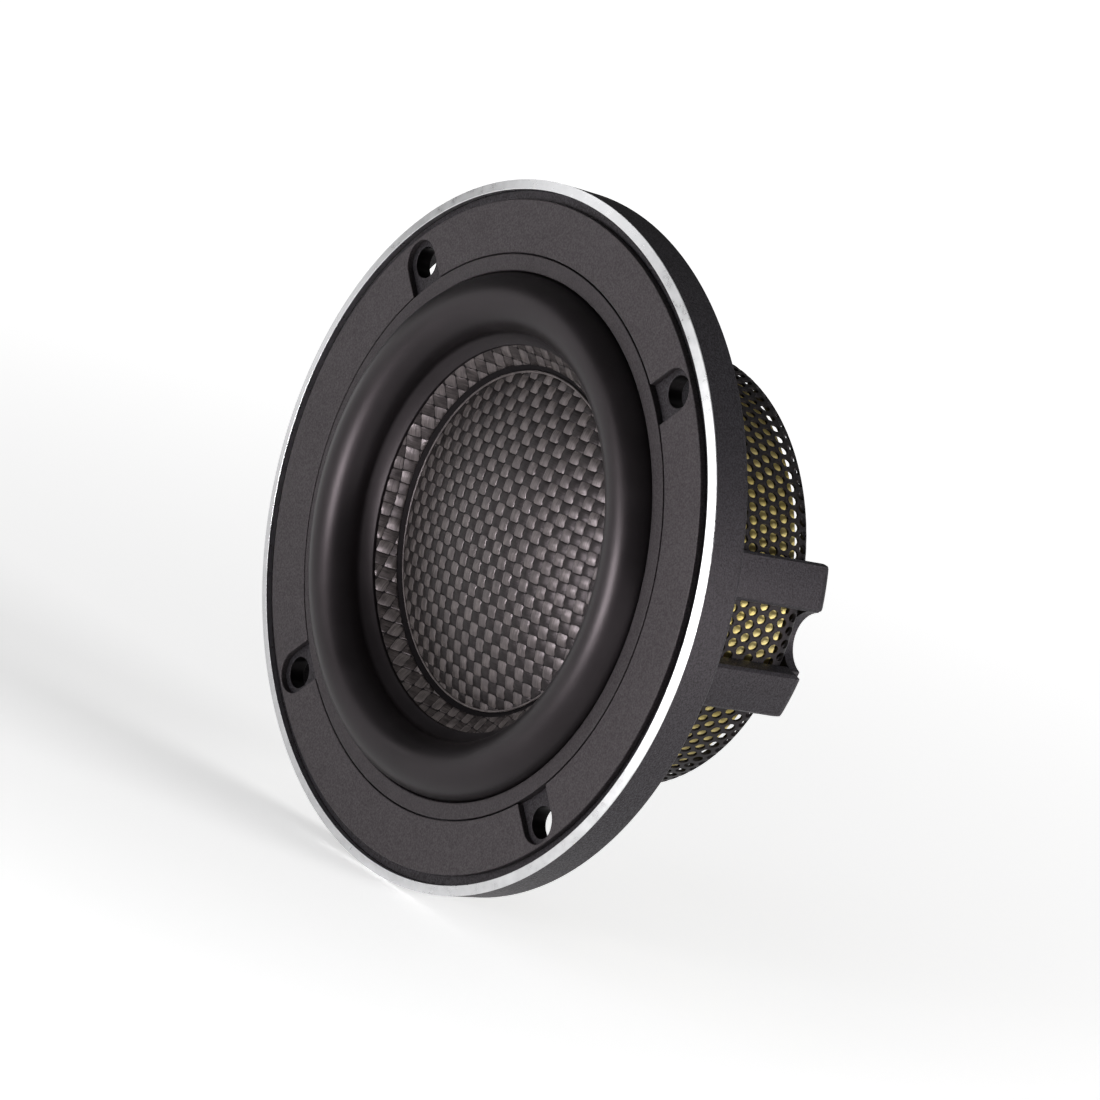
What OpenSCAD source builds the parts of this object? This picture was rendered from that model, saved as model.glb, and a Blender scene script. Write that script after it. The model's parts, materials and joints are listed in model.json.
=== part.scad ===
// Small round car loudspeaker: woven-carbon cone and dome in a cast frame with a slim motor.
// The axis of the driver runs along Y. The front faces -Y, +Z is up, and the origin is the
// centre of the screw circle at the rear face of the flange plate. Every round piece is drawn
// as a profile of radius and depth, where depth counts from that face towards the back.

/* [Rim] */
// Outer radius of the rim
rim_r = 47; // [46.5:0.1:47.5]
// Depth of the rim, from its bearing edge to the face of the driver
rim_h = 5.9; // [5.7:0.1:6.2]
// Inner radius of the bright edge ring
edge_r = 45.65; // [45.5:0.05:45.8]
// Drop of the bright edge ring from its inner to its outer side
edge_drop = 0.3; // [0.2:0.05:0.4]
// Inner radius of the lip that bears on the panel
lip_r = 44; // [43.5:0.1:44.5]

/* [Face] */
// Outer radius of the face plate
face_r = 44.35; // [44.1:0.05:44.6]
// Inner radius of the face plate
face_inner_r = 37.3; // [37.2:0.05:37.5]
// Thickness of the face plate, and depth of the screw pockets
face_t = 0.9; // [0.7:0.1:1.1]
// Radius of the rounded end of a screw pocket
pocket_r = 2.9; // [2.7:0.1:3]
// Outer radius of the clamp ring
clamp_r = 37.1; // [36.9:0.05:37.15]
// Inner radius of the clamp ring
clamp_inner_r = 34.9; // [34.85:0.05:35.2]

/* [Screw holes] */
// Radius of the circle of screw holes
hole_circle_r = 41.1; // [40.8:0.1:41.2]
// Diameter of a screw hole
hole_d = 4.2; // [3.8:0.1:4.4]
// Thickness of the flange at the screw holes
flange_t = 2.3; // [2:0.1:2.8]

/* [Basket] */
// Outer radius of the neck
neck_r = 32.5; // [32:0.1:33]
// Bore radius of the neck
neck_bore_r = 30.5; // [30.4:0.1:30.8]
// Depth of the rear end of the neck
neck_end = 12.7; // [11.7:0.5:13.7]
// Radius of the outer faces of the struts
strut_r = 31.7; // [31.5:0.1:32]
// Width of one strut
strut_w = 6.4; // [6:0.1:7]
// Half of the angle between the two struts of a leg
strut_angle = 13.8; // [13.5:0.1:14.2]
// Number of legs
legs = 3; // [3:1:3]
// Depth of the rear end of the basket
basket_end = 30.7; // [30.3:0.1:31.3]
// Thickness of the feet of the legs
plate_t = 1.5; // [1.4:0.1:1.6]
// Radius of the hub that carries the motor
plate_r = 20.5; // [20:0.5:21]
// Radius of the notch in each leg
notch_r = 4.3; // [4:0.1:4.5]

/* [Mesh] */
// Outer radius of the mesh sleeve
mesh_r = 29.3; // [29:0.1:29.3]
// Thickness of the mesh sleeve
mesh_t = 0.5; // [0.4:0.1:0.6]
// Outer radius of the bend at the rear end of the sleeve
mesh_bend_r = 2.2; // [2:0.1:2.4]

/* [Cone and surround] */
// Radius of the middle of the surround's roll
roll_mid_r = 30.85; // [30.8:0.05:30.9]
// Radius of the roll in section
roll_r = 3.9; // [3.85:0.05:3.9]
// Thickness of the surround
roll_t = 0.5; // [0.4:0.05:0.5]
// Inner radius of the surround
lip_inner_r = 25.5; // [25.3:0.1:25.7]
// Radius at the foot of the dust cap
cap_r = 22.5; // [22.4:0.1:22.6]
// Height of the dust cap
cap_h = 3.8; // [3.4:0.1:4]
// Thickness of the cone and the dust cap
cone_t = 0.4; // [0.3:0.05:0.5]

/* [Motor] */
// Outer radius of the motor pot
pot_r = 27.8; // [27.5:0.1:28]
// Bore radius of the motor pot
pot_bore_r = 23.2; // [23.1:0.05:23.3]
// Inner radius of the voice coil former
former_r = 21.85; // [21.8:0.05:21.9]
// Outer radius of the voice coil
coil_r = 22.8; // [22.7:0.05:22.85]
// Radius of the magnet
magnet_r = 20; // [19:0.5:20]

/* [Hidden] */

$fn = 96;
eps = 0.01;

// Rim and flange, as depths from the rear face of the flange plate
flange_back = 0;
floor_y = flange_back - flange_t;
face_y = floor_y - face_t;
rim_end = face_y + rim_h;
edge_t = 0.15;
edge_root = 0.95;
rim_draft = 0.35;
hole_angles = [45, 135, 225, 315];

// Surround seat
foot_t = 0.6;
foot_inner_r = 34.25;
foot_y = floor_y;
foot_seat_y = foot_y + foot_t;
neck_foot = 1.2;
neck_bevel = 0.5;

// Surround, cone and dust cap
roll_y = face_y + 0.8;
lip_y = face_y + 2.6;
cone_outer_r = 26.6;
cone_slope = 0.8;
cone_front_y = lip_y + 0.45;
glue_gap = 0.1;
land_y = roll_y + 0.7;
cap_y = cone_front_y + (lip_inner_r - cap_r) * cone_slope;
cap_sphere_r = (cap_r * cap_r + cap_h * cap_h) / (2 * cap_h);

// Rear of the basket
plate_y = basket_end - plate_t;
mesh_seat_y = 9.7;
mesh_end = plate_y - 0.1;
leg_angles = [for (i = [0 : legs - 1]) i * 360 / legs];
notch_mid_r = 31.2;
leg_half_angle = 16;
foot_r = 30.2;
corner_r = 1.5;
strut_corner_r = 1.8;
strut_bevel = 0.5;
plate_bevel = 0.5;
plate_bore_r = 8;
plate_screw_angles = [60, 180, 300];
plate_screw_circle_r = 17;

// Motor
former_t = 0.2;
former_end = 17.1;
coil_start = 10.7;
coil_end = 16.7;
pot_y = 11.2;
pot_floor_y = 24.2;
pot_back = 27.2;
top_plate_r = 21.15;
top_plate_y = 12.3;
magnet_y = 16.7;
cap_wall = 0.3;
screw_r = 1.5;
screw_head_r = 2.8;
screw_cone = 1.3;
screw_end = 25.2;
screw_socket_r = 0.9;
screw_socket_depth = 1.1;

// Spider
spider_y = 7.1;
spider_t = 0.35;
spider_wave = 0.8;
spider_waves = 3;
spider_ring_r = 28.4;
spider_outer_r = 30.3;

// Terminals, on the side opposite the first leg
board_angle = 180;
board_inner_r = 31;
board_outer_r = 37;
board_w = 18;
board_t = 1.6;
pad_y = 9.7;
tab_gap = 12;
tab_t = 0.8;
tab_len = 8;
tab_foot = 4.2;
tab_r = 34.6;
rivet_r = 0.9;
rivet_head_r = 1.6;
rivet_head_t = 0.6;
slot_w = 15;
slot_y = 2.1;
slot_h = 3.6;
lead_r = 0.55;
lead_cone_r = 25.4;
lead_end_y = 1;

// Turns a profile of radius and depth into a solid round the Y axis
module lathe() {
    rotate([-90, 0, 0]) rotate_extrude() children();
}

// A ring with square edges between two radii and two depths
module ring(inner, outer, start, end) {
    lathe() translate([inner, start]) square([outer - inner, end - start]);
}

// A plain round bar along the axis between two depths
module bar(radius, start, end) {
    translate([0, start, 0]) rotate([-90, 0, 0]) cylinder(r = radius, h = end - start);
}

// Turns its children from +X towards +Z
module turned(angle) {
    rotate([0, -angle, 0]) children();
}

// The four screw holes, through everything between two depths
module screw_holes(start, end) {
    for (angle = hole_angles)
        turned(angle) translate([hole_circle_r, 0, 0]) bar(hole_d / 2, start, end);
}

// One U-shaped screw pocket, open towards the axis
module screw_pocket() {
    translate([hole_circle_r, 0, 0]) bar(pocket_r, face_y - 1, floor_y + 1);
    translate([face_inner_r - 2, face_y - 1, -pocket_r])
        cube([hole_circle_r - face_inner_r + 2, face_t + 2, 2 * pocket_r]);
}

// Turned body of the basket: flange with its bearing lip, and the neck with the mesh's seat
module turned_body() {
    lathe()
        polygon([[neck_bore_r, foot_seat_y],
                 [clamp_r, foot_seat_y],
                 [clamp_r, floor_y],
                 [edge_r, floor_y],
                 [edge_r, rim_end],
                 [lip_r, rim_end],
                 [lip_r, flange_back],
                 [neck_r + neck_foot, flange_back],
                 [neck_r, flange_back + neck_foot],
                 [neck_r, neck_end - neck_bevel],
                 [neck_r - neck_bevel, neck_end],
                 [mesh_r, neck_end],
                 [mesh_r, mesh_seat_y],
                 [neck_bore_r, mesh_seat_y]]);
}

// Hub behind the motor, with bevelled edges
module hub() {
    lathe()
        polygon([[plate_bore_r, pot_back],
                 [plate_r, pot_back],
                 [plate_r, basket_end - plate_bevel],
                 [plate_r - plate_bevel, basket_end],
                 [plate_bore_r + plate_bevel, basket_end],
                 [plate_bore_r, basket_end - plate_bevel]]);
}

// Outline of a leg's foot, which reaches to the hub, seen along the axis with its open notch
module leg_outline() {
    reach = 2 * strut_r;
    half = reach * tan(leg_half_angle);
    difference() {
        polygon([[0, 0], [reach, -half], [reach, half]]);
        translate([notch_mid_r, 0]) circle(r = notch_r);
        translate([notch_mid_r, -notch_r]) square([reach, 2 * notch_r]);
    }
}

// Outline of one strut seen along the axis, with its outer edges bevelled
module strut_outline() {
    half = strut_w / 2;
    polygon([[mesh_r - 2, -half],
             [strut_r - strut_bevel, -half],
             [strut_r, strut_bevel - half],
             [strut_r + 1, strut_bevel - half],
             [strut_r + 1, half - strut_bevel],
             [strut_r, half - strut_bevel],
             [strut_r - strut_bevel, half],
             [mesh_r - 2, half]]);
}

// Stretches an outline seen along the axis from one depth to another
module along_axis(start, end) {
    translate([0, end, 0]) rotate([90, 0, 0]) linear_extrude(height = end - start) children();
}

// Outline of one strut seen from outside, with its two rear corners rounded
module strut_side_outline() {
    start = neck_end - 2;
    corner_y = basket_end - strut_corner_r;
    corner_z = strut_w / 2 - strut_corner_r;
    translate([start, -strut_w]) square([corner_y - start, 2 * strut_w]);
    translate([start, -corner_z]) square([basket_end - start, 2 * corner_z]);
    for (side = [-1, 1])
        translate([corner_y, side * corner_z]) circle(r = strut_corner_r);
}

// One strut of a leg
module strut() {
    intersection() {
        along_axis(neck_end - 2, basket_end + 1) strut_outline();
        rotate([90, 0, 90]) linear_extrude(height = strut_r + 2) strut_side_outline();
    }
}

// One leg: two struts and the foot that joins them, rounded at the rear outer corner
module leg() {
    intersection() {
        lathe()
            difference() {
                polygon([[mesh_r, neck_end - 1],
                         [strut_r, neck_end - 1],
                         [strut_r, basket_end],
                         [plate_r - 1, basket_end],
                         [plate_r - 1, plate_y],
                         [mesh_r, plate_y]]);
                difference() {
                    translate([strut_r - corner_r, basket_end - corner_r])
                        square(corner_r + 1);
                    translate([strut_r - corner_r, basket_end - corner_r])
                        circle(r = corner_r);
                }
            }
        union() {
            intersection() {
                along_axis(plate_y, basket_end + 1) leg_outline();
                bar(foot_r, plate_y, basket_end + 1);
            }
            for (side = [-1, 1])
                turned(side * strut_angle) strut();
        }
    }
}

// Countersunk clearance hole for a motor screw
module motor_screw_hole() {
    bar(screw_r + 0.2, pot_back - 1, basket_end + 1);
    translate([0, basket_end - screw_cone, 0]) rotate([-90, 0, 0])
        cylinder(r1 = screw_r,
                 r2 = screw_head_r + (screw_head_r - screw_r) / screw_cone,
                 h = screw_cone + 1);
}

// Cast frame: flange, neck, three two-strut legs and hub in one piece
module basket() {
    color([0.10, 0.10, 0.11])
    difference() {
        union() {
            turned_body();
            hub();
            for (angle = leg_angles)
                turned(angle) leg();
            turned(board_angle)
                translate([neck_bore_r + 1, pad_y, -board_w / 2])
                    cube([board_outer_r - neck_bore_r - 1, neck_end - pad_y, board_w]);
        }
        screw_holes(floor_y - 1, flange_back + 1);
        for (angle = plate_screw_angles)
            turned(angle) translate([plate_screw_circle_r, 0, 0]) motor_screw_hole();
        turned(board_angle)
            translate([neck_bore_r - 1, slot_y, -slot_w / 2])
                cube([neck_r - neck_bore_r + 2, slot_h, slot_w]);
        for (side = [-1, 1])
            turned(board_angle)
                translate([tab_r, 0, side * tab_gap / 2]) bar(rivet_r, pad_y - 1, neck_end + 1);
    }
}

// Turned outer ring that hides the edge of the flange
module bezel_ring() {
    color([0.12, 0.12, 0.13])
    lathe()
        polygon([[edge_r, face_y + edge_root],
                 [rim_r, face_y + edge_drop + edge_t],
                 [rim_r - rim_draft, rim_end],
                 [edge_r, rim_end]]);
}

// Bright edge ring with a bevelled face
module trim_ring() {
    color([0.80, 0.80, 0.82])
    lathe()
        polygon([[edge_r, face_y],
                 [rim_r, face_y + edge_drop],
                 [rim_r, face_y + edge_drop + edge_t],
                 [edge_r, face_y + edge_root]]);
}

// Flat plate round the surround, with a pocket at each screw
module face_plate() {
    color([0.22, 0.21, 0.22])
    difference() {
        ring(face_inner_r, face_r, face_y, floor_y);
        for (angle = hole_angles)
            turned(angle) screw_pocket();
    }
}

// Ring that clamps the edge of the surround
module clamp_ring() {
    color([0.20, 0.19, 0.20])
    ring(clamp_inner_r, clamp_r, face_y, floor_y);
}

// Half-roll rubber surround, with its clamped foot and the land glued to the cone
module surround() {
    color([0.09, 0.08, 0.09])
    lathe() {
        difference() {
            translate([roll_mid_r, roll_y]) circle(r = roll_r);
            translate([roll_mid_r, roll_y]) circle(r = roll_r - roll_t);
            translate([roll_mid_r - 2 * roll_r, roll_y]) square([4 * roll_r, 2 * roll_r]);
        }
        polygon([[roll_mid_r + roll_r - roll_t, roll_y],
                 [roll_mid_r + roll_r, roll_y],
                 [roll_mid_r + roll_r, foot_y],
                 [clamp_r, foot_y],
                 [clamp_r, foot_seat_y],
                 [foot_inner_r, foot_seat_y]]);
        polygon([[roll_mid_r - roll_r, roll_y],
                 [roll_mid_r - roll_r + roll_t, roll_y],
                 [roll_mid_r - roll_r + roll_t, land_y - glue_gap],
                 [lip_inner_r, cone_front_y - glue_gap],
                 [lip_inner_r, lip_y],
                 [roll_mid_r - roll_r, land_y - glue_gap]]);
    }
}

// Shallow woven-carbon cone between the surround and the coil former
module cone() {
    inner_r = former_r + former_t;
    inner_y = cap_y + (cap_r - inner_r) * cone_slope;
    outer_y = cone_front_y - (cone_outer_r - lip_inner_r) * cone_slope;
    color([0.30, 0.28, 0.28])
    lathe()
        polygon([[inner_r, inner_y],
                 [cone_outer_r, outer_y],
                 [cone_outer_r, outer_y + cone_t],
                 [inner_r, inner_y + cone_t]]);
}

// Domed dust cap
module dust_cap() {
    mid_y = cap_y - cap_h + cap_sphere_r;
    color([0.27, 0.26, 0.26])
    lathe() {
        difference() {
            translate([0, mid_y]) circle(r = cap_sphere_r, $fn = 360);
            translate([0, mid_y]) circle(r = cap_sphere_r - cone_t, $fn = 360);
            translate([-2 * cap_sphere_r, cap_y]) square([4 * cap_sphere_r, 3 * cap_sphere_r]);
            translate([-2 * cap_sphere_r, -20]) square([2 * cap_sphere_r, 40]);
            translate([cap_r, -20]) square([cap_sphere_r, 40]);
        }
    }
}

// Thin tube that carries the winding
module coil_former() {
    color([0.75, 0.62, 0.35])
    ring(former_r, former_r + former_t, cap_y + 0.15, former_end);
}

// Copper winding on the former
module voice_coil() {
    color([0.72, 0.42, 0.20])
    ring(former_r + former_t, coil_r, coil_start, coil_end);
}

// Corrugated centring disc
module spider() {
    inner_r = former_r + former_t;
    wave_start = inner_r + 0.9;
    wave_len = (spider_ring_r - wave_start) / spider_waves;
    steps = 12 * spider_waves;
    span = spider_ring_r - wave_start;
    front = [for (i = [0 : steps])
        let (r = wave_start + span * i / steps)
        [r, spider_y - spider_wave * sin(360 * (r - wave_start) / wave_len)]];
    back = [for (i = [steps : -1 : 0]) [front[i][0], front[i][1] + spider_t]];
    color([0.68, 0.60, 0.30])
    lathe()
        polygon(concat([[inner_r, spider_y]], front,
                       [[spider_outer_r, spider_y], [spider_outer_r, spider_y + spider_t]],
                       back, [[inner_r, spider_y + spider_t]]));
}

// Ring in the neck that carries the rim of the spider
module spider_ring() {
    color([0.16, 0.16, 0.17])
    ring(spider_ring_r, neck_bore_r, spider_y + spider_t, mesh_seat_y);
}

// Steel pot of the motor
module motor_pot() {
    color([0.62, 0.52, 0.24])
    difference() {
        bar(pot_r, pot_y, pot_back);
        bar(pot_bore_r, pot_y - 1, pot_floor_y);
        for (angle = plate_screw_angles)
            turned(angle) translate([plate_screw_circle_r, 0, 0])
                bar(screw_r, screw_end, pot_back + 1);
    }
}

// Magnet on the floor of the pot
module magnet() {
    color([0.62, 0.63, 0.65])
    bar(magnet_r, magnet_y, pot_floor_y);
}

// Steel plate on the magnet, inside the coil
module top_plate() {
    color([0.62, 0.52, 0.24])
    bar(top_plate_r, top_plate_y, magnet_y);
}

// Thin copper cap over the top plate
module shorting_cap() {
    color([0.76, 0.45, 0.26])
    difference() {
        bar(top_plate_r + cap_wall, top_plate_y - cap_wall, magnet_y);
        bar(top_plate_r, top_plate_y, magnet_y + 1);
    }
}

// Sleeve of perforated steel from the neck to the feet of the legs, bent inwards at its rear end
module mesh_sleeve() {
    bend_mid_r = mesh_r - mesh_bend_r;
    bend_y = mesh_end - mesh_bend_r;
    color([0.15, 0.15, 0.16])
    lathe() {
        translate([mesh_r - mesh_t, mesh_seat_y]) square([mesh_t, bend_y - mesh_seat_y]);
        intersection() {
            translate([bend_mid_r, bend_y])
                difference() {
                    circle(r = mesh_bend_r);
                    circle(r = mesh_bend_r - mesh_t);
                }
            translate([bend_mid_r, bend_y]) square(mesh_bend_r + 1);
        }
    }
}

// One countersunk screw with a socket
module motor_screw() {
    difference() {
        union() {
            bar(screw_r, screw_end, basket_end - screw_cone + eps);
            translate([0, basket_end - screw_cone, 0]) rotate([-90, 0, 0])
                cylinder(r1 = screw_r, r2 = screw_head_r, h = screw_cone);
        }
        bar(screw_socket_r, basket_end - screw_socket_depth, basket_end + 1);
    }
}

// Three screws that hold the pot to the hub
module motor_screws() {
    color([0.12, 0.12, 0.12])
    for (angle = plate_screw_angles)
        turned(angle) translate([plate_screw_circle_r, 0, 0]) motor_screw();
}

// Insulating board for the terminals
module terminal_board() {
    color([0.35, 0.22, 0.12])
    turned(board_angle)
        difference() {
            translate([board_inner_r, neck_end, -board_w / 2])
                cube([board_outer_r - board_inner_r, board_t, board_w]);
            for (side = [-1, 1])
                translate([tab_r, 0, side * tab_gap / 2]) bar(rivet_r, neck_end - 1, neck_end + 3);
        }
}

// Push-on tab with a riveted foot
module terminal_tab(side, width) {
    turned(board_angle)
        translate([tab_r, neck_end + board_t, side * tab_gap / 2])
        difference() {
            union() {
                translate([-tab_foot / 2, 0, -width / 2]) cube([tab_foot, tab_t, width]);
                translate([-tab_foot / 2, 0, -width / 2]) cube([tab_t, tab_len, width]);
            }
            bar(rivet_r, -1, tab_t + 1);
            translate([-tab_foot, tab_len - 2.2, 0]) rotate([0, 90, 0])
                cylinder(r = 0.7, h = tab_foot);
        }
}

module terminal_positive() {
    color([0.80, 0.74, 0.52]) terminal_tab(1, 4.8);
}

module terminal_negative() {
    color([0.80, 0.74, 0.52]) terminal_tab(-1, 2.8);
}

// Two rivets through the board and the pad of the basket
module board_rivets() {
    color([0.78, 0.70, 0.45])
    for (side = [-1, 1])
        turned(board_angle)
            translate([tab_r, 0, side * tab_gap / 2]) {
                bar(rivet_r, pad_y, neck_end + board_t + tab_t);
                bar(rivet_head_r, pad_y - rivet_head_t, pad_y);
                bar(rivet_head_r - 0.3, neck_end + board_t + tab_t,
                    neck_end + board_t + tab_t + rivet_head_t);
            }
}

// Flexible lead from a terminal rivet, through the slot in the neck, to the back of the cone
module tinsel_lead(side) {
    start_z = side * tab_gap / 2;
    out_r = tab_r;
    mid_y = slot_y + slot_h / 2;
    turned(board_angle)
        union() {
            translate([out_r, 0, start_z]) bar(lead_r, mid_y, pad_y - rivet_head_t);
            translate([out_r, mid_y, start_z]) sphere(r = lead_r, $fn = 24);
            translate([lead_cone_r, mid_y, start_z]) rotate([0, 90, 0])
                cylinder(r = lead_r, h = out_r - lead_cone_r);
            translate([lead_cone_r, mid_y, start_z]) sphere(r = lead_r, $fn = 24);
            translate([lead_cone_r, 0, start_z]) bar(lead_r, lead_end_y, mid_y);
        }
}

module lead_positive() {
    color([0.72, 0.50, 0.36]) tinsel_lead(1);
}

module lead_negative() {
    color([0.72, 0.50, 0.36]) tinsel_lead(-1);
}

basket();
bezel_ring();
trim_ring();
face_plate();
clamp_ring();
surround();
cone();
dust_cap();
coil_former();
voice_coil();
spider();
spider_ring();
motor_pot();
magnet();
top_plate();
shorting_cap();
mesh_sleeve();
motor_screws();
terminal_board();
terminal_positive();
terminal_negative();
board_rivets();
lead_positive();
lead_negative();
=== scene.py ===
"""Looks of a small round car loudspeaker driver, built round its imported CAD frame.

The driver's axis runs along Y and its front faces -Y. Most pieces are turned shapes, so they are
made from profiles of radius and depth (y), both in metres.
"""
import json
import math

import bmesh
import bpy
import numpy as np
from mathutils import Matrix, Vector


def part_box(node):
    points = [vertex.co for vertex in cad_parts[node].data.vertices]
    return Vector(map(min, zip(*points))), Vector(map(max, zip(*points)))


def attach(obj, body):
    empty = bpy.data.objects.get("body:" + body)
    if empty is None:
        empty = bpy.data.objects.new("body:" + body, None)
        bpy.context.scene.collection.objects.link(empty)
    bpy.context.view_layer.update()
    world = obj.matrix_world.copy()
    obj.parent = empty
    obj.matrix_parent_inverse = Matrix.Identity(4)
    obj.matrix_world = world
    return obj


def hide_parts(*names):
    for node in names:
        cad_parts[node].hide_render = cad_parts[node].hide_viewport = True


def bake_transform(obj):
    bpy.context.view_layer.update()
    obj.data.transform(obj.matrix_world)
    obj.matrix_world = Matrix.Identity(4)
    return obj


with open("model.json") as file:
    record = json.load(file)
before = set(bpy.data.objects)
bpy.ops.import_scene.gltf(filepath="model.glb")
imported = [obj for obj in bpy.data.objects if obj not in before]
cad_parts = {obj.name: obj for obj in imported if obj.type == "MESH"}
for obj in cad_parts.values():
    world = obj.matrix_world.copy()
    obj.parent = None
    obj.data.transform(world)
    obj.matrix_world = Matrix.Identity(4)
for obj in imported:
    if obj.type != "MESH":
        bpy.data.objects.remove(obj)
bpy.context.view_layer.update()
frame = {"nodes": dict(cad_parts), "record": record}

MM = 0.001
FIXED = "chassis"
MOVING = "moving_assembly"


# ---------------------------------------------------------------- measures taken from the frame

def radii(node):
    """Least and greatest distance of a CAD node's points from the driver's axis."""
    found = [math.hypot(v.co.x, v.co.z) for v in frame["nodes"][node].data.vertices]
    return min(found), max(found)


def depths(node):
    """Front and back of a CAD node along the driver's axis."""
    low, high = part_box(node)
    return low.y, high.y


RIM_R = radii("bezel_ring")[1]
FACE_Y = depths("trim_ring")[0]
RIM_END = depths("bezel_ring")[1]
SEAT_Y = depths("face_plate")[1]
EDGE_R = radii("trim_ring")[0]
CAP_R = radii("dust_cap")[1]
CAP_TOP, CAP_FOOT = depths("dust_cap")


# ---------------------------------------------------------------- camera, light and floor

# The photograph's view: the camera's direction and its roll about that direction, in degrees,
# then its distance and the face centre's offset in the picture, both counted in rim radii.
VIEW_AZIMUTH = 50.9
VIEW_ELEVATION = 9.7
VIEW_ROLL = -17.5
VIEW_DISTANCE = 17.79
VIEW_OFFSET = (-0.1997, -0.0396)
LENS_MM = 210.5

FLOOR_HALF = 12

# Glow of the floor close to the driver and far away, and the distances at which it changes. The
# weaker glow close to the driver is painted shade on the floor round it.
NEAR_GLOW, FAR_GLOW = 0.56, 1.0
NEAR_FLOOR, FAR_FLOOR = 0.08, 0.55


def add_camera():
    """Places the camera; returns the directions of the picture's right, its top and its front."""
    azimuth, elevation, roll = map(math.radians, (VIEW_AZIMUTH, VIEW_ELEVATION, VIEW_ROLL))
    back = Vector((math.sin(azimuth) * math.cos(elevation),
                   -math.cos(azimuth) * math.cos(elevation),
                   math.sin(elevation)))
    level = Vector((math.cos(azimuth), math.sin(azimuth), 0))
    upright = back.cross(level)
    right = level * math.cos(roll) - upright * math.sin(roll)
    up = level * math.sin(roll) + upright * math.cos(roll)
    place = (Vector((0, FACE_Y, 0))
             - right * VIEW_OFFSET[0] * RIM_R
             + up * VIEW_OFFSET[1] * RIM_R
             + back * VIEW_DISTANCE * RIM_R)
    data = bpy.data.cameras.new("camera")
    data.lens = LENS_MM
    data.sensor_width = 36
    data.clip_start = 0.01
    data.clip_end = 50
    camera = bpy.data.objects.new("camera", data)
    bpy.context.scene.collection.objects.link(camera)
    camera.matrix_world = Matrix.Translation(place) @ Matrix(
        [[right[i], up[i], back[i]] for i in range(3)]).to_4x4()
    bpy.context.scene.camera = camera
    return right, up, back


def add_light(name, place, size, watts):
    """A soft box that faces the driver and stays out of the picture."""
    data = bpy.data.lights.new(name, "AREA")
    data.shape = "RECTANGLE"
    data.size, data.size_y = size
    data.energy = watts
    light = bpy.data.objects.new(name, data)
    bpy.context.scene.collection.objects.link(light)
    light.location = place
    light.visible_camera = False
    light.rotation_euler = (-Vector(place)).to_track_quat("-Z", "Y").to_euler()


def add_world(strength):
    """A plain white sky of that strength."""
    world = bpy.data.worlds.new("studio")
    world.use_nodes = True
    background = world.node_tree.nodes["Background"]
    background.inputs["Color"].default_value = (1, 1, 1, 1)
    background.inputs["Strength"].default_value = strength
    bpy.context.scene.world = world


def add_floor(material):
    """A level floor that the rim stands on."""
    corners = [(x * FLOOR_HALF, y * FLOOR_HALF, -RIM_R)
               for x, y in ((-1, -1), (1, -1), (1, 1), (-1, 1))]
    add_piece("floor", corners, [(0, 1, 2, 3)], [material])


# ---------------------------------------------------------------- materials

# Tint of the reflections on everything that isn't metal.
WARM_SHEEN = (1.0, 0.86, 0.92, 1)


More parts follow.
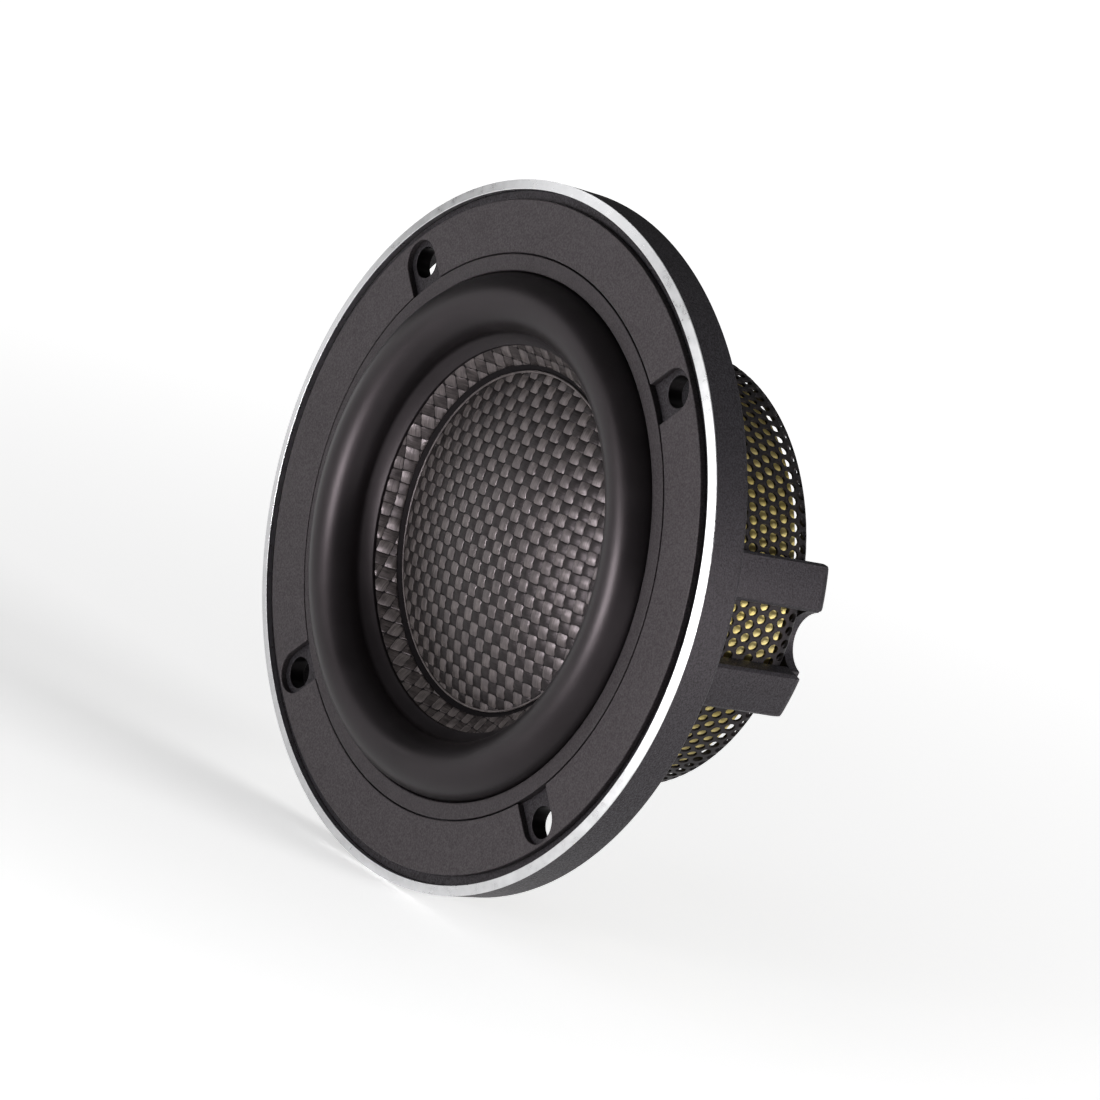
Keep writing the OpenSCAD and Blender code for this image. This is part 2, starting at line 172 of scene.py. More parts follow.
class Finish:
    """A node material under construction."""

    def __init__(self, name, colour, roughness, metallic=0.0, specular=0.5):
        self.material = bpy.data.materials.new(name)
        self.material.use_nodes = True
        self.tree = self.material.node_tree
        self.bsdf = self.tree.nodes["Principled BSDF"]
        self.place = self.node("ShaderNodeTexCoord").outputs["Object"]
        self.bump_end = None
        self.set("Base Color", (*colour, 1))
        self.set("Roughness", roughness)
        self.set("Metallic", metallic)
        self.set("Specular IOR Level", specular)
        if not metallic:
            self.set("Specular Tint", WARM_SHEEN)

    def node(self, kind, **settings):
        made = self.tree.nodes.new(kind)
        for key, value in settings.items():
            setattr(made, key, value)
        return made

    def set(self, socket, value):
        self.bsdf.inputs[socket].default_value = value

    def link(self, start, end):
        self.tree.links.new(start, end)

    def scaled(self, scale, turn):
        """Object coordinates scaled to cycles per metre and then turned about Y."""
        mapping = self.node("ShaderNodeMapping")
        mapping.inputs["Rotation"].default_value = (0, turn, 0)
        mapping.inputs["Scale"].default_value = scale
        self.link(self.place, mapping.inputs["Vector"])
        return mapping.outputs["Vector"]

    def noise(self, size, detail=2.0, turn=0.0):
        """Noise with features of that size in metres, which may be a tuple with one per axis."""
        texture = self.node("ShaderNodeTexNoise")
        texture.inputs["Detail"].default_value = detail
        texture.inputs["Scale"].default_value = 1.0
        sizes = size if isinstance(size, tuple) else (size, size, size)
        self.link(self.scaled([1 / s for s in sizes], turn), texture.inputs["Vector"])
        return texture.outputs["Fac"]

    def ramp(self, value, low, high, start, end):
        """A colour that runs from low to high while the value runs from start to end."""
        ramp = self.node("ShaderNodeValToRGB")
        ramp.color_ramp.elements[0].position = start
        ramp.color_ramp.elements[1].position = end
        ramp.color_ramp.elements[0].color = (*low, 1)
        ramp.color_ramp.elements[1].color = (*high, 1)
        self.link(value, ramp.inputs["Fac"])
        return ramp.outputs["Color"]

    def colour(self, value, low, high, start=0.3, end=0.7):
        self.link(self.ramp(value, low, high, start, end), self.bsdf.inputs["Base Color"])

    def tint(self, value, low, high):
        """Multiplies the colour made so far by a factor that follows the value."""
        source = self.bsdf.inputs["Base Color"].links[0].from_socket
        factor = self.ramp(value, (low,) * 3, (high,) * 3, 0.35, 0.65)
        mix = self.node("ShaderNodeMix", data_type="RGBA", blend_type="MULTIPLY")
        mix.inputs["Factor"].default_value = 1
        self.link(source, mix.inputs[6])
        self.link(factor, mix.inputs[7])
        self.link(mix.outputs[2], self.bsdf.inputs["Base Color"])

    def spread(self, value, low, high, start=0.3, end=0.7):
        """Maps a value between start and end to the range from low to high."""
        scale = self.node("ShaderNodeMapRange")
        for socket, number in zip(("From Min", "From Max", "To Min", "To Max"),
                                  (start, end, low, high)):
            scale.inputs[socket].default_value = number
        self.link(value, scale.inputs["Value"])
        return scale.outputs["Result"]

    def roughness(self, value, low, high):
        self.link(self.spread(value, low, high), self.bsdf.inputs["Roughness"])

    def bump(self, value, height, strength=1.0):
        """Adds relief of that height in metres."""
        bump = self.node("ShaderNodeBump")
        bump.inputs["Strength"].default_value = strength
        bump.inputs["Distance"].default_value = height
        self.link(value, bump.inputs["Height"])
        if self.bump_end is not None:
            self.link(self.bump_end, bump.inputs["Normal"])
        self.bump_end = bump.outputs["Normal"]
        self.link(self.bump_end, self.bsdf.inputs["Normal"])


def powder_coat():
    """Black powder coat with a fine orange-peel grain."""
    finish = Finish("black_coat", (0.012, 0.0115, 0.0135), 0.5, specular=0.25)
    grain = finish.noise(0.24 * MM, detail=3)
    finish.colour(grain, (0.0028, 0.0027, 0.0032), (0.021, 0.0203, 0.0235), 0.35, 0.7)
    finish.roughness(grain, 0.62, 0.40)
    finish.bump(grain, 0.06 * MM, 0.8)
    finish.bump(finish.noise(0.9 * MM), 0.02 * MM, 0.4)
    return finish.material


def recess_shade_black():
    """Smooth black, darker than the coat and with almost no sheen: painted shade in the groove
    beside the bright edge and in the screw holes.
    """
    finish = Finish("black_painted_shade", (0.0022, 0.002, 0.0022), 0.3, specular=0.05)
    finish.roughness(finish.noise(3 * MM), 0.25, 0.38)
    finish.bump(finish.noise(0.6 * MM), 0.004 * MM, 0.4)
    return finish.material


def bright_edge():
    """Turned bevel in satin aluminium."""
    finish = Finish("bright_edge", (0.64, 0.64, 0.65), 0.28, metallic=1.0)
    cloud = finish.noise(1.2 * MM, detail=3)
    finish.colour(cloud, (0.60, 0.60, 0.61), (0.68, 0.68, 0.69))
    finish.roughness(cloud, 0.26, 0.34)
    return finish.material


def grained_plate(name, low, high, rough_low, rough_high):
    """Matt dark plate with a fine speckle."""
    finish = Finish(name, low, rough_low, specular=0.25)
    grain = finish.noise(0.24 * MM, detail=4)
    cloud = finish.noise(6 * MM, detail=2)
    finish.colour(grain, low, high, 0.3, 0.75)
    finish.roughness(cloud, rough_low, rough_high)
    finish.bump(grain, 0.035 * MM, 0.7)
    return finish.material


def surround_rubber():
    """Black rubber with a soft sheen."""
    finish = Finish("surround_rubber", (0.007, 0.006, 0.0066), 0.36, specular=0.3)
    skin = finish.noise(0.5 * MM, detail=3)
    cloud = finish.noise(9 * MM, detail=3)
    finish.colour(cloud, (0.0045, 0.0038, 0.0042), (0.0085, 0.0073, 0.008))
    finish.roughness(cloud, 0.34, 0.42)
    finish.bump(skin, 0.012 * MM, 0.5)
    return finish.material


def carbon_tow(name, low, high, along_x):
    """Carbon fibres along X or Z, a few degrees off their tows. Those along X shine less. The
    colours given for each direction paint the fibres' sheen.
    """
    finish = Finish(name, low, 0.42, specular=0.22 if along_x else 0.62)
    fine, coarse = 0.11 * MM, 3.2 * MM
    sizes = (coarse, 1.0 * MM, fine) if along_x else (fine, 1.0 * MM, coarse)
    fibres = finish.noise(sizes, detail=3, turn=math.radians(WEAVE_TURN))
    finish.colour(fibres, low, high, 0.32, 0.72)
    finish.tint(finish.noise(1.3 * MM, detail=2), 0.62, 1.25)
    finish.roughness(fibres, 0.30, 0.40)
    finish.bump(fibres, 0.03 * MM, 0.8)
    return finish.material


def resin_and_shade():
    """Dark resin, seen between the tows, where it is partly painted shade, and painted shade in
    the gap between the dome and the cone's weave.
    """
    finish = Finish("carbon_resin_and_painted_shade", (0.004, 0.0036, 0.004), 0.6, specular=0.1)
    finish.bump(finish.noise(0.4 * MM, detail=3), 0.03 * MM, 0.5)
    return finish.material


def yellow_zinc():
    """Yellow passivated zinc, clouded from straw to olive."""
    finish = Finish("yellow_zinc", (0.75, 0.62, 0.28), 0.4, metallic=0.45)
    cloud = finish.noise(5 * MM, detail=4)
    finish.colour(cloud, (0.54, 0.42, 0.12), (0.76, 0.63, 0.27))
    finish.roughness(finish.noise(0.8 * MM, detail=3), 0.28, 0.5)
    finish.bump(finish.noise(0.5 * MM, detail=2), 0.02 * MM, 0.5)
    return finish.material


def plain_metal(name, low, high, rough, metallic=1.0):
    """Metal with a cloudy tone between two colours."""
    finish = Finish(name, low, rough, metallic=metallic)
    cloud = finish.noise(2.5 * MM, detail=4)
    finish.colour(cloud, low, high)
    finish.roughness(finish.noise(0.7 * MM, detail=3), rough * 0.8, rough * 1.3)
    finish.bump(finish.noise(0.3 * MM, detail=2), 0.008 * MM, 0.5)
    return finish.material


def plain_polymer(name, low, high, rough, specular=0.5):
    """Plastic, paint or cloth with a fine grain between two colours."""
    finish = Finish(name, low, rough, specular=specular)
    grain = finish.noise(0.3 * MM, detail=3)
    finish.colour(grain, low, high)
    finish.roughness(grain, rough * 0.85, rough * 1.15)
    finish.bump(grain, 0.015 * MM, 0.5)
    return finish.material


def floor_paint():
    """White paint with a glow of its own, which keeps shadows faint; the glow is weaker near the
    driver, which paints a soft shade on the floor round it.
    """
    finish = Finish("floor", (0.90, 0.90, 0.90), 0.9, specular=0.1)
    finish.set("Emission Color", (1, 1, 1, 1))
    distance = finish.node("ShaderNodeVectorMath", operation="LENGTH")
    finish.link(finish.place, distance.inputs[0])
    # The glow falls towards the driver: painted shade round its foot.
    glow = finish.spread(distance.outputs["Value"], NEAR_GLOW, FAR_GLOW, NEAR_FLOOR, FAR_FLOOR)
    finish.link(glow, finish.bsdf.inputs["Emission Strength"])
    return finish.material


# ---------------------------------------------------------------- mesh helpers

def add_piece(name, vertices, faces, materials):
    """A new smooth-shaded object."""
    mesh = bpy.data.meshes.new(name)
    mesh.from_pydata([tuple(v) for v in vertices], [], faces)
    mesh.validate()
    mesh.update()
    for material in materials:
        mesh.materials.append(material)
    mesh.polygons.foreach_set("use_smooth", [True] * len(mesh.polygons))
    piece = bpy.data.objects.new(name, mesh)
    bpy.context.scene.collection.objects.link(piece)
    return piece


def arc(centre, radius, start, end, steps):
    """Points of an arc in the plane of radius and depth; angles in degrees from +radius to +y."""
    return [(centre[0] + radius * math.cos(math.radians(a)),
             centre[1] + radius * math.sin(math.radians(a)))
            for a in np.linspace(start, end, steps + 1)]


def rounded(points, sizes, steps=4):
    """A closed profile with its corners rounded, each with its own radius.

    A point just before and just after each rounding keeps the shading of the flats flat.
    """
    count = len(points)
    made = []
    for i in range(count):
        here = Vector(points[i])
        before = Vector(points[i - 1]) - here
        after = Vector(points[(i + 1) % count]) - here
        if sizes[i] <= 0:
            made.append(tuple(here))
            continue
        corner = before.angle(after)
        cut = min(sizes[i] / math.tan(corner / 2), before.length * 0.48, after.length * 0.48)
        first = here + before.normalized() * cut
        last = here + after.normalized() * cut
        hold = 1 + min(0.4, 0.49 * before.length / cut - 1, 0.49 * after.length / cut - 1)
        made.append(tuple(here + before.normalized() * cut * hold))
        for s in range(steps + 1):
            t = s / steps
            made.append(tuple((1 - t) ** 2 * first + 2 * t * (1 - t) * here + t * t * last))
        made.append(tuple(here + after.normalized() * cut * hold))
    return made


def turn_profile(name, profile, materials, segments=256):
    """Turns a closed profile of (radius, y) points round the driver's axis."""
    count = len(profile)
    vertices = []
    for s in range(segments):
        angle = 2 * math.pi * s / segments
        vertices += [(r * math.cos(angle), y, r * math.sin(angle)) for r, y in profile]
    faces = []
    for s in range(segments):
        here, after = s * count, (s + 1) % segments * count
        for i in range(count):
            j = (i + 1) % count
            faces.append((here + i, here + j, after + j, after + i))
    piece = add_piece(name, vertices, faces, materials)
    face_outward(piece)
    shade_by_angle(piece, 50)
    return piece


def face_outward(piece, same_place=0.0001 * MM):
    """Joins points that are in the same place and turns every face outwards."""
    bm = bmesh.new()
    bm.from_mesh(piece.data)
    bmesh.ops.remove_doubles(bm, verts=bm.verts, dist=same_place)
    bmesh.ops.recalc_face_normals(bm, faces=bm.faces)
    bm.to_mesh(piece.data)
    bm.free()


def shade_by_angle(piece, degrees):
    """Smooth shading that stops at edges sharper than the angle."""
    bm = bmesh.new()
    bm.from_mesh(piece.data)
    limit = math.radians(degrees)
    for face in bm.faces:
        face.smooth = True
    for edge in bm.edges:
        edge.smooth = len(edge.link_faces) == 2 and edge.calc_face_angle(0) < limit
    bm.to_mesh(piece.data)
    bm.free()


# Points of a CAD mesh closer than SAME_PLACE are joined before its edges are rounded, and faces
# that meet at less than FLAT_DEGREES become one. Edges sharper than SHARP_DEGREES are rounded, or
# SHARP_LONG_DEGREES where only long edges are. Shading runs over edges below SMOOTH_DEGREES.
SAME_PLACE = 0.02 * MM
FLAT_DEGREES = 0.4
SHARP_DEGREES = 35
SHARP_LONG_DEGREES = 50
SMOOTH_DEGREES = 20


def softened(node, material, roundings):
    """A copy of a CAD node with its sharp edges rounded, which stands for that node.

    roundings holds the first and last depth of a rounding, its width and the shortest edge
    that takes it; where that length isn't zero, inner corners stay sharp.
    """
    mesh = frame["nodes"][node].data.copy()
    mesh.materials.clear()
    mesh.materials.append(material)
    bm = bmesh.new()
    bm.from_mesh(mesh)
    bmesh.ops.remove_doubles(bm, verts=bm.verts, dist=SAME_PLACE)
    bmesh.ops.dissolve_degenerate(bm, dist=SAME_PLACE, edges=bm.edges)
    bmesh.ops.dissolve_limit(bm, angle_limit=math.radians(FLAT_DEGREES),
                             verts=bm.verts, edges=bm.edges)
    for start, end, width, shortest in roundings:
        least = math.radians(SHARP_LONG_DEGREES if shortest else SHARP_DEGREES)
        sharp = [e for e in bm.edges if len(e.link_faces) == 2
                 and e.calc_face_angle(0) > least
                 and (e.is_convex or not shortest) and e.calc_length() >= shortest
                 and start <= (e.verts[0].co.y + e.verts[1].co.y) / 2 < end]
        bmesh.ops.bevel(bm, geom=sharp, offset=width, segments=2, profile=0.5, affect="EDGES",
                        clamp_overlap=not shortest, miter_outer="SHARP")
    bm.to_mesh(mesh)
    bm.free()
    piece = bpy.data.objects.new(node + "_finished", mesh)
    bpy.context.scene.collection.objects.link(piece)
    shade_by_angle(piece, SMOOTH_DEGREES)
    return piece


def finish_piece(piece, body, slot, *nodes):
    """Puts a piece on its body and hides the CAD nodes that it stands for. The slot, its finish's
    name, is not used.
    """
    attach(piece, body)
    if nodes:
        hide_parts(*nodes)


def paint(node, material):
    """Gives a CAD node that stays in view its finish."""
    data = frame["nodes"][node].data
    data.materials.clear()
    data.materials.append(material)


# ---------------------------------------------------------------- turned pieces of the rim

# The bright edge ring: the fall of its face towards the rim, the height of its side and the
# depth of its root. The bezel ring behind it narrows by BEZEL_DRAFT.
EDGE_DROP, EDGE_SIDE, EDGE_ROOT = 0.30 * MM, 0.15 * MM, 0.95 * MM
BEZEL_DRAFT = 0.35 * MM


def build_rim(coat, bright, ring_finish):
    """The black bezel ring, the bright edge ring in front of it and the surround's clamp ring."""
    root = (EDGE_R, FACE_Y + EDGE_ROOT)
    side_foot = (RIM_R, FACE_Y + EDGE_DROP + EDGE_SIDE)
    bezel = rounded([root, side_foot, (RIM_R - BEZEL_DRAFT, RIM_END), (EDGE_R, RIM_END)],
                    [0, 0.06 * MM, 0.35 * MM, 0.1 * MM])
    finish_piece(turn_profile("bezel_ring_turned", bezel, [coat]),
                 FIXED, "black_coat", "bezel_ring")
    trim = rounded([(EDGE_R, FACE_Y), (RIM_R, FACE_Y + EDGE_DROP), side_foot, root],
                   [0.08 * MM, 0, 0, 0], steps=3)
    finish_piece(turn_profile("trim_ring_turned", trim, [bright]),
                 FIXED, "bright_edge", "trim_ring")
    inner, outer = radii("clamp_ring")
    front, back = depths("clamp_ring")
    clamp = rounded([(inner, front), (outer, front), (outer, back), (inner, back)],
                    [0.22 * MM, 0.10 * MM, 0, 0])
    finish_piece(turn_profile("clamp_ring_turned", clamp, [ring_finish]),
                 FIXED, "clamp_ring", "clamp_ring")


def build_basket(coat, recess_shade):
    """The cast frame, with painted shade in the groove round the face plate and in the screw
    holes, given as a smooth black darker than the coat.
    """
    front_edges = (-1, 1.5 * MM, 0.08 * MM, 0)
    long_rear_edges = (4 * MM, 1, 0.3 * MM, 2 * MM)
    piece = softened("basket", coat, [front_edges, long_rear_edges])
    piece.data.materials.append(recess_shade)
    groove_from = radii("face_plate")[1] - 1 * MM
    screws = frame["record"]["mounts"][0]["dims"]
    screw_x = screws["pcd_mm"] / 2 * MM * math.sqrt(0.5)
    reach = screws["hole_r_mm"] * 1.1 * MM
    points = piece.data.vertices
    for face in piece.data.polygons:
        x, y, z = face.center
        nearest = min(math.hypot(points[i].co.x, points[i].co.z) for i in face.vertices)
        faces_front = face.normal.y < -0.5
        is_wall = abs(face.normal.y) < 0.5
        # Groove floor and screw-hole walls take the darker black: painted shade.
        groove = nearest > groove_from and faces_front and y < SEAT_Y + 0.1 * MM
        bore = math.hypot(abs(x) - screw_x, abs(z) - screw_x) < reach and is_wall
        if groove or bore:
            face.material_index = 1
    finish_piece(piece, FIXED, "black_coat", "basket")


# ---------------------------------------------------------------- surround

# The half roll, and the lip at its inner edge that is glued to the cone.
ROLL_MID_R = 30.85 * MM
ROLL_RADIUS = 3.9 * MM
ROLL_SKIN = 0.5 * MM
ROLL_BASE_Y = FACE_Y + 0.8 * MM
LAND_RADIUS = 0.9 * MM
LIP_R = 25.5 * MM
LIP_Y = FACE_Y + 2.6 * MM
LIP_ROUND = 0.18 * MM


def radial_blend(piece):
    """Bakes a soft ring's placement into its points."""
    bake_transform(piece)


def build_surround(rubber):
    """Half-roll rubber: a flat foot under the clamp ring, the roll, and the lip on the cone."""
    outer_edge = ROLL_MID_R + ROLL_RADIUS
    inner_edge = ROLL_MID_R - ROLL_RADIUS
    foot_r = radii("surround")[1]
    foot_front = SEAT_Y + 0.01 * MM
    foot_back = SEAT_Y + 0.6 * MM
    bed = ROLL_BASE_Y + 0.6 * MM
    lip_back = LIP_Y + 0.33 * MM
    front = [(foot_r, foot_front), (outer_edge + 0.1 * MM, foot_front)]
    front += arc((ROLL_MID_R, ROLL_BASE_Y), ROLL_RADIUS, 0, -180, 48)
    front += arc((inner_edge - LAND_RADIUS, ROLL_BASE_Y), LAND_RADIUS, 0, 47, 8)[1:]
    front += [(LIP_R + 0.25 * MM, LIP_Y - 0.16 * MM)]
    front += arc((LIP_R + LIP_ROUND, LIP_Y + 0.06 * MM), LIP_ROUND, -130, -180, 4)
    back = [(LIP_R, lip_back)]
    back += [(inner_edge + ROLL_SKIN, bed)]
    back += arc((ROLL_MID_R, ROLL_BASE_Y), ROLL_RADIUS - ROLL_SKIN, -180, 0, 40)
    back += [(outer_edge - ROLL_SKIN, foot_back), (foot_r, foot_back)]
    piece = turn_profile("surround_rubber", front + back, [rubber], segments=288)
    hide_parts("surround")
    radial_blend(piece)


# ---------------------------------------------------------------- woven carbon

# A tow's half width and half length are counted in pitches, and TOW_WAIST is the share of its
# width that it loses at its middle. CRIMP is how far it rises between its dips, and TOW_ROUND is
# how far its long edges fall away. The whole weave is turned by WEAVE_TURN degrees.
TOW_PITCH = 1.62 * MM
TOW_HALF_WIDTH = 0.495
TOW_HALF_LENGTH = 0.56
TOW_WAIST = 0.05
WEAVE_TURN = 3.5
CRIMP = 0.10 * MM
TOW_ROUND = 0.07 * MM
TOW_ROUND_POWER = 10
LENGTH_STEPS = 8
WIDTH_PLACES = (-1, -0.93, -0.75, 0, 0.75, 0.93, 1)
SMALLEST_FACE = 1e-10

# The gap between the dome and the cone's weave, where the near-black under the weave shows as
# painted shade, the bead at the dome's foot, and the cone's fall.
DOME_SHADE_GAP = 0.75 * MM
BEAD_R = 0.17 * MM
BEAD_INSET = 0.12 * MM
CONE_SLOPE = 0.8


def weave(name, surface, inner, outer, materials):
    """Plain-woven tows over a turned surface: one pillow for each place where a tow is on top.

    surface(r) gives the depth and the slope of the front face at radius r. Each pillow dips at
    both ends under the tows beside it, and all are cut at the inner and outer radius.
    """
    turn = math.radians(WEAVE_TURN)
    reach = int(outer / TOW_PITCH) + 2
    vertices, faces, slots = [], [], []
    for i in range(-reach, reach):
        for j in range(-reach, reach):
            upright = (i + j) % 2 == 0
            cell = []
            for a in np.linspace(-TOW_HALF_LENGTH, TOW_HALF_LENGTH, LENGTH_STEPS + 1):
                width = TOW_HALF_WIDTH * (1 - TOW_WAIST * math.cos(2 * math.pi * a))
                for b in WIDTH_PLACES:
                    across = b * width
                    rise = CRIMP * math.cos(math.pi * a) - TOW_ROUND * abs(b) ** TOW_ROUND_POWER
                    u, v = (across, a) if upright else (a, across)
                    cell.append(((i + 0.5 + u) * TOW_PITCH, (j + 0.5 + v) * TOW_PITCH, rise))
            distances = [math.hypot(x, z) for x, z, _ in cell]
            if min(distances) >= outer or max(distances) <= inner:
                continue
            start = len(vertices)
            for (x, z, rise), distance in zip(cell, distances):
                r = min(max(distance, inner), outer)
                angle = math.atan2(z, x) + turn
                y, slope = surface(r)
                steep = math.hypot(1, slope)
                radial = r + rise * slope / steep
                vertices.append((radial * math.cos(angle), y - rise / steep,
                                 radial * math.sin(angle)))
            row = len(WIDTH_PLACES)
            for s in range(LENGTH_STEPS):
                for w in range(row - 1):
                    k = start + s * row + w
                    quad = (k, k + 1, k + row + 1, k + row)
                    if quad_area([vertices[q] for q in quad]) > SMALLEST_FACE:
                        faces.append(quad if upright else quad[::-1])
                        slots.append(0 if upright else 1)
    piece = add_piece(name, vertices, faces, materials)
    piece.data.polygons.foreach_set("material_index", slots)
    return piece


def quad_area(points):
    """Area of a nearly flat face with four corners."""
    a, b, c, d = (Vector(p) for p in points)
    return ((c - a).cross(d - b)).length / 2


def build_carbon(warp, weft, painted_lit_weft, dark):
    """The woven dome, the woven band of the cone round it, and the bead at the dome's foot."""
    rise = CAP_FOOT - CAP_TOP
    ball = (CAP_R ** 2 + rise ** 2) / (2 * rise)

    def dome(r):
        height = math.sqrt(ball * ball - r * r)
        return CAP_TOP + ball - height, r / height

    cone_at_lip = LIP_Y + 0.45 * MM

    def cone(r):
        return cone_at_lip - (r - LIP_R) * CONE_SLOPE, -CONE_SLOPE

    finish_piece(weave("dust_cap_weave", dome, 0, CAP_R - BEAD_INSET, [warp, weft]),
                 MOVING, "woven_carbon")
    finish_piece(weave("cone_weave", cone, CAP_R + DOME_SHADE_GAP, LIP_R + 0.35 * MM,
                       [warp, painted_lit_weft]), MOVING, "woven_carbon")
    # The bead takes the warp's lighter colour, which is painted sheen.
    bead = arc((CAP_R - BEAD_INSET, CAP_FOOT - 0.16 * MM), BEAD_R, 0, 330, 11)
    finish_piece(turn_profile("dust_cap_edge", bead, [warp]), MOVING, "woven_carbon")
    # The CAD dome and cone under the weave take the near-black resin colour: painted shade in the
    # gap round the dome, resin and painted shade between the tows.
    paint("dust_cap", dark)
    paint("cone", dark)


# ---------------------------------------------------------------- mesh sleeve

# Steps between holes round the sleeve and along it, the holes' half sizes, and the sheet. The
# first row starts after a plain strip at the front, and the last ends REAR_STRIP before the edge.
HOLE_STEP = 1.80 * MM
COLUMN_STEP = 1.73 * MM
HOLE_HALF_LENGTH = 0.77 * MM
HOLE_HALF_WIDTH = 0.64 * MM
SHEET = 0.35 * MM
REAR_STRIP = 0.25 * MM


def build_mesh_sleeve(coat):
    """Perforated sheet rolled into a sleeve, with staggered rows of oval holes."""
    inner, outer = radii("mesh_sleeve")
    front, back = depths("mesh_sleeve")
    bend = outer - inner
    straight = back - bend - front
    length = straight + bend * math.pi / 2
    around = round(2 * math.pi * outer / HOLE_STEP)
    columns = int((length - 2 * REAR_STRIP) / COLUMN_STEP)
    first = length - REAR_STRIP - columns * COLUMN_STEP
    quarter = (-0.5, -0.25, 0, 0.25)
    border = ([(-0.5, q) for q in quarter] + [(q, 0.5) for q in quarter]
              + [(0.5, -q) for q in quarter] + [(-q, -0.5) for q in quarter])
    corners = len(border)
    step = 2 * math.pi / around
    vertices, faces = [], []

    def place(along, angle):
        """Point of the sheet at a distance along its profile, which ends in the rear bend."""
        turn = max(along - straight, 0) / bend
        r = outer - bend * (1 - math.cos(turn))
        y = front + min(along, straight) + bend * math.sin(turn)
        vertices.append((r * math.cos(angle), y, r * math.sin(angle)))

    for c in range(columns):
        middle = first + (c + 0.5) * COLUMN_STEP
        for h in range(around):
            angle = (h + 0.5 * (c % 2)) * step
            start = len(vertices)
            for along, sideways in border:
                place(middle + along * COLUMN_STEP, angle + sideways * step)
            for along, sideways in border:
                aim = math.atan2(sideways, along)
                place(middle + HOLE_HALF_LENGTH * math.cos(aim),
                      angle + HOLE_HALF_WIDTH * math.sin(aim) / outer)
            for k in range(corners):
                m = (k + 1) % corners
                faces.append((start + k, start + m, start + corners + m, start + corners + k))
    for low, high in ((0, first), (first + columns * COLUMN_STEP, length)):
        for h in range(around * 4):
            start = len(vertices)
            for along, turns in ((low, h), (low, h + 1), (high, h + 1), (high, h)):
                place(along, turns * step / 4)
            faces.append((start, start + 1, start + 2, start + 3))
    piece = add_piece("mesh_sleeve_perforated", vertices, faces, [coat])
    face_outward(piece, 0.02 * MM)
    sheet = piece.modifiers.new("sheet", "SOLIDIFY")
    sheet.thickness = SHEET
    sheet.offset = -1
    graph = bpy.context.evaluated_depsgraph_get()
    made = bpy.data.meshes.new_from_object(piece.evaluated_get(graph))
    piece.modifiers.clear()
    piece.data = made
    shade_by_angle(piece, 40)
    finish_piece(piece, FIXED, "black_mesh", "mesh_sleeve")


# ---------------------------------------------------------------- inside pieces

def build_spider(cloth):
    """Corrugated cloth that centres the coil, with three whole waves."""
    inner, outer = radii("spider")
    front, back = depths("spider")
    waves = 3
    skin = 0.35 * MM
    height = (back - front - skin) / 2
    middle = (front + back - skin) / 2
    flat_in, flat_out = inner + 0.9 * MM, 28.4 * MM
    steps = 72

    def wave(r):
        share = min(max((r - flat_in) / (flat_out - flat_in), 0), 1)
        return middle - height * math.sin(share * waves * 2 * math.pi)

    places = [inner] + list(np.linspace(flat_in, flat_out, steps)) + [outer]
    profile = [(r, wave(r)) for r in places] + [(r, wave(r) + skin) for r in reversed(places)]
    piece = turn_profile("spider_cloth", profile, [cloth], segments=192)
    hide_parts("spider")
    radial_blend(piece)


def build_coil(wire):
    """The voice coil, with its turns of wire as ridges."""
    inner, outer = radii("voice_coil")
    front, back = depths("voice_coil")
    turns = 24
    pitch = (back - front) / turns
    profile = [(inner, front), (outer - pitch / 2, front)]
    for t in range(turns):
        centre = (outer - pitch / 2, front + (t + 0.5) * pitch)
        profile += arc(centre, pitch / 2, -80, 80, 6)
    profile += [(outer - pitch / 2, back), (inner, back)]
    finish_piece(turn_profile("voice_coil_winding", profile, [wire], segments=160),
                 MOVING, "copper_wire", "voice_coil")


def smooth_path(points, per_span=10):
    """A smooth curve through the points (Catmull-Rom)."""
    guides = [2 * points[0] - points[1]] + points + [2 * points[-1] - points[-2]]
    made = []
    for k in range(1, len(guides) - 2):
        p0, p1, p2, p3 = guides[k - 1:k + 3]
        for s in range(per_span):
            t = s / per_span
            made.append(0.5 * ((2 * p1) + (p2 - p0) * t + (2 * p0 - 5 * p1 + 4 * p2 - p3) * t * t
                               + (3 * p1 - p0 - 3 * p2 + p3) * t ** 3))
    made.append(points[-1])
    return made


def braid(name, path, radius, material, strands=5, sides=6, lay=2.6 * MM):
    """A lead of strands twisted round its path, one turn for each lay."""
    vertices, faces = [], []
    strand_r = radius * 0.42
    travelled = [0]
    for a, b in zip(path, path[1:]):
        travelled.append(travelled[-1] + (b - a).length)
    frames = []
    side = None
    for k, point in enumerate(path):
        ahead = (path[min(k + 1, len(path) - 1)] - path[max(k - 1, 0)]).normalized()
        if side is None:
            side = ahead.orthogonal().normalized()
        side = (side - ahead * side.dot(ahead)).normalized()
        frames.append((point, side, ahead.cross(side)))
    for strand in range(strands):
        start = len(vertices)
        for (point, u, v), distance in zip(frames, travelled):
            twist = 2 * math.pi * (strand / strands + distance / lay)
            out = u * math.cos(twist) + v * math.sin(twist)
            centre = point + out * (radius - strand_r)
            for s in range(sides):
                angle = 2 * math.pi * s / sides
                vertices.append(centre + (u * math.cos(angle) + v * math.sin(angle)) * strand_r)
        for k in range(len(path) - 1):
            for s in range(sides):
                a, b = start + k * sides + s, start + k * sides + (s + 1) % sides
                faces.append((a, b, b + sides, a + sides))
        faces.append(tuple(start + s for s in reversed(range(sides))))
        last = start + (len(path) - 1) * sides
        faces.append(tuple(last + s for s in range(sides)))
    return add_piece(name, vertices, faces, [material])


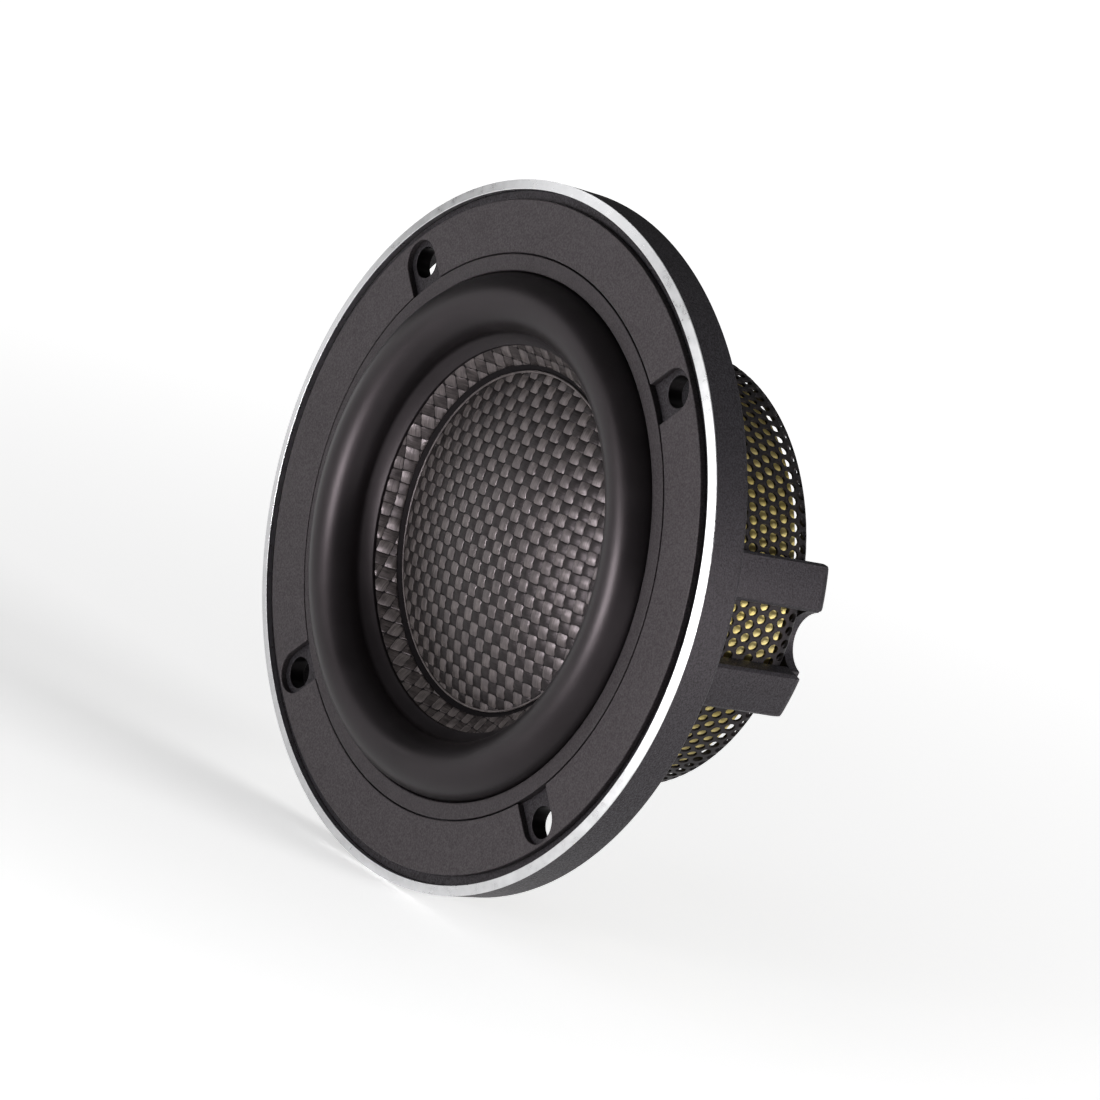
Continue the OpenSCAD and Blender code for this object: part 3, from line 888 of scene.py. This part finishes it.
def build_leads(metal):
    """Tinsel leads, which hang in a slack curve from the terminals to the coil."""
    for node in ("lead_positive", "lead_negative"):
        low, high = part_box(node)
        z = (low.z + high.z) / 2
        radius = (high.z - low.z) / 2
        x_out, x_in = low.x + radius, high.x - radius
        x_mid = (x_out + x_in) / 2
        y_mid = low.y + 2.9 * MM
        points = [Vector((x_out, high.y, z)),
                  Vector((x_out + 0.1 * MM, y_mid + 1.6 * MM, z)),
                  Vector((x_out + 2.2 * MM, y_mid + 0.1 * MM, z)),
                  Vector((x_mid, y_mid, z)),
                  Vector((x_in - 1.6 * MM, y_mid - 0.4 * MM, z)),
                  Vector((x_in, low.y, z))]
        piece = braid(node + "_braid", smooth_path(points), radius, metal)
        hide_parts(node)
        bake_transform(piece)


# ---------------------------------------------------------------- putting it together

# Plain whites and blacks, as in the photograph.
bpy.context.scene.view_settings.view_transform = "Standard"
right, up, back = add_camera()
add_world(0.10)
add_floor(floor_paint())
add_light("key", (0.0, -0.26, -0.028), (0.08, 0.03), 0.50)
add_light("side", (-0.72, -0.60, 0.16), (0.3, 0.25), 0.45)
add_light("right", (0.50, 0.12, 0.02), (0.16, 0.25), 4.4)
add_light("left", right * -0.95 + up * 0.15 + back * 0.3, (0.35, 0.8), 1.6)
add_light("behind", (0.05, 0.45, 0.75), (0.5, 0.5), 0.3)

coat = powder_coat()
plate = grained_plate("face_plate", (0.014, 0.0122, 0.0133), (0.048, 0.043, 0.0455), 0.46, 0.56)
clamp_finish = grained_plate("clamp_ring", (0.012, 0.0105, 0.0115), (0.038, 0.034, 0.036),
                             0.42, 0.54)
mesh_coat = plain_polymer("black_mesh", (0.004, 0.0037, 0.004), (0.011, 0.010, 0.0105), 0.5,
                          specular=0.15)
zinc = yellow_zinc()
tinned = plain_metal("terminal_metal", (0.62, 0.55, 0.38), (0.78, 0.72, 0.55), 0.3)

build_rim(coat, bright_edge(), clamp_finish)
build_surround(surround_rubber())
# One carbon in lit and shaded copies: the warp's light colours are painted sheen and the wefts'
# dark ones painted shade, for the fibres' shine that follows their direction; the weft on the cone
# is a lighter, painted-lit copy.
build_carbon(carbon_tow("carbon_warp_painted_sheen", (0.026, 0.0224, 0.0217), (0.086, 0.0745, 0.0717), False),
             carbon_tow("carbon_weft_painted_shade", (0.004, 0.0034, 0.0034), (0.018, 0.0156, 0.0152), True),
             carbon_tow("carbon_painted_lit_weft", (0.012, 0.010, 0.0098), (0.048, 0.041, 0.040), True),
             resin_and_shade())
build_mesh_sleeve(mesh_coat)
build_spider(plain_polymer("spider_cloth", (0.30, 0.22, 0.07), (0.46, 0.36, 0.14), 0.8))
build_coil(plain_metal("copper_wire", (0.60, 0.26, 0.10), (0.78, 0.40, 0.20), 0.3))
build_leads(plain_metal("tinsel", (0.70, 0.42, 0.28), (0.84, 0.62, 0.48), 0.35))

build_basket(coat, recess_shade_black())
finish_piece(softened("face_plate", plate, [(-1, 1, 0.12 * MM, 0)]),
             FIXED, "face_plate", "face_plate")

paint("spider_ring",
      plain_polymer("black_plastic", (0.018, 0.018, 0.020), (0.03, 0.03, 0.033), 0.5))
paint("motor_pot", zinc)
paint("top_plate", zinc)
paint("magnet", plain_metal("magnet_nickel", (0.55, 0.55, 0.57), (0.70, 0.70, 0.72), 0.28))
paint("shorting_cap", plain_metal("copper_sheet", (0.62, 0.30, 0.16), (0.80, 0.44, 0.28), 0.3))
paint("coil_former", plain_polymer("former_film", (0.50, 0.26, 0.05), (0.62, 0.36, 0.10), 0.35))
paint("motor_screws", plain_metal("black_steel", (0.03, 0.03, 0.03), (0.06, 0.06, 0.06), 0.4, 0.8))
paint("terminal_board",
      plain_polymer("phenolic_board", (0.14, 0.06, 0.025), (0.24, 0.11, 0.05), 0.5))
for node in ("terminal_positive", "terminal_negative", "board_rivets"):
    paint(node, tinned)
